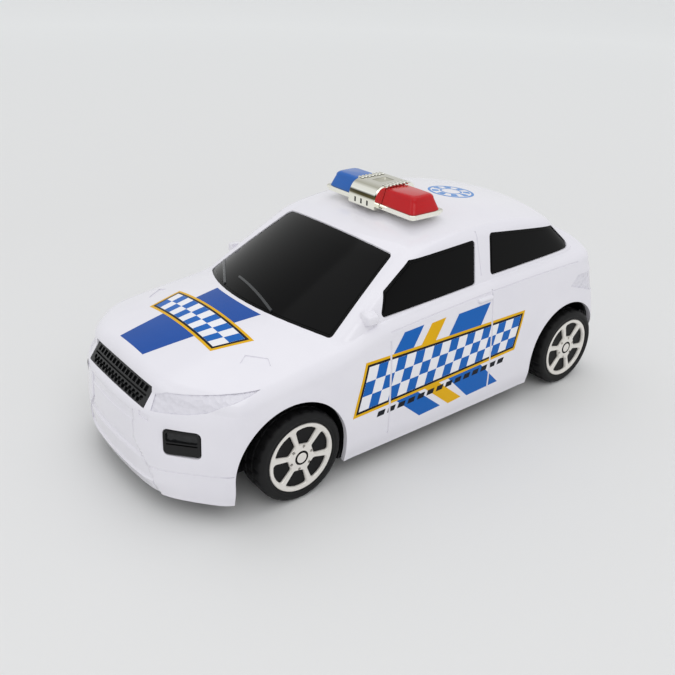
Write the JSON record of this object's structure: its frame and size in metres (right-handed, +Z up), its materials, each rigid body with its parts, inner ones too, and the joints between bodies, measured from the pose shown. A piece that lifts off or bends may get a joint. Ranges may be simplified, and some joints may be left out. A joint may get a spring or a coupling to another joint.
{
  "type": "toy police car",
  "caption": "Toy police car with a moulded shell, window moulding, screwed chassis, free-turning wheels, geared friction flywheel drive and a red and blue roof light bar.",
  "frame": {"origin": "on the ground under the middle of the car", "axes": "+X forward along the car, +Y to the car's left, +Z up"},
  "size_m": [0.2189, 0.0986, 0.0927],
  "materials": {
    "white_plastic": "gloss",
    "window_black": "high gloss",
    "trim_black": "satin",
    "chassis_black": "matt",
    "tyre_black": "matt",
    "hub_black": "matt",
    "disc_silver": "silver paint",
    "steel": "bright",
    "gear_plastic": "satin",
    "pinion_brass": "satin",
    "flywheel_iron": "turned",
    "gearbox_plastic": "satin",
    "plated_plastic": "chrome plated",
    "lens_red": "high gloss",
    "lens_blue": "high gloss"
  },
  "bodies": {
    "car_body": {"body_shell": "white_plastic", "window_insert": "window_black", "grille_insert": "trim_black", "fog_lamp_left": "trim_black", "fog_lamp_right": "trim_black", "chassis": "chassis_black", "chassis_screws": "steel", "gearbox_case": "gearbox_plastic", "gearbox_cover": "gearbox_plastic", "gearbox_screws": "steel", "cover_screws": "steel", "idler_pin": "steel", "lightbar_base": "plated_plastic", "lightbar_bridge": "plated_plastic", "lightbar_screws": "steel", "lens_red": "lens_red", "lens_blue": "lens_blue"},
    "front_wheels": {"front_axle": "steel", "tyre_front_left": "tyre_black", "tyre_front_right": "tyre_black", "hub_front_left": "hub_black", "hub_front_right": "hub_black", "disc_front_left": "disc_silver", "disc_front_right": "disc_silver"},
    "rear_wheels": {"rear_axle": "steel", "axle_gear": "gear_plastic", "tyre_rear_left": "tyre_black", "tyre_rear_right": "tyre_black", "hub_rear_left": "hub_black", "hub_rear_right": "hub_black", "disc_rear_left": "disc_silver", "disc_rear_right": "disc_silver"},
    "idler": {"idler_gear": "gear_plastic"},
    "flywheel": {"flywheel": "flywheel_iron", "flywheel_pinion": "pinion_brass", "flywheel_shaft": "steel"}
  },
  "joints": [
    {"name": "front_wheels_spin", "type": "hinge", "parent": "car_body", "child": "front_wheels", "pos_m": [0.0624, 0, 0.0172], "axis": [0, 1, 0], "continuous": true},
    {"name": "rear_wheels_spin", "type": "hinge", "parent": "car_body", "child": "rear_wheels", "pos_m": [-0.0816, 0, 0.0172], "axis": [0, 1, 0], "continuous": true},
    {"name": "idler_spin", "type": "hinge", "parent": "car_body", "child": "idler", "pos_m": [-0.0718, 0, 0.02198], "axis": [0, 1, 0], "continuous": true},
    {"name": "flywheel_spin", "type": "hinge", "parent": "car_body", "child": "flywheel", "pos_m": [-0.06156, 0, 0.02571], "axis": [0, 1, 0], "continuous": true}
  ],
  "couplings": [
    {"joint": "idler_spin", "follows": "rear_wheels_spin", "ratio": -2.6},
    {"joint": "flywheel_spin", "follows": "rear_wheels_spin", "ratio": 6.76}
  ]
}
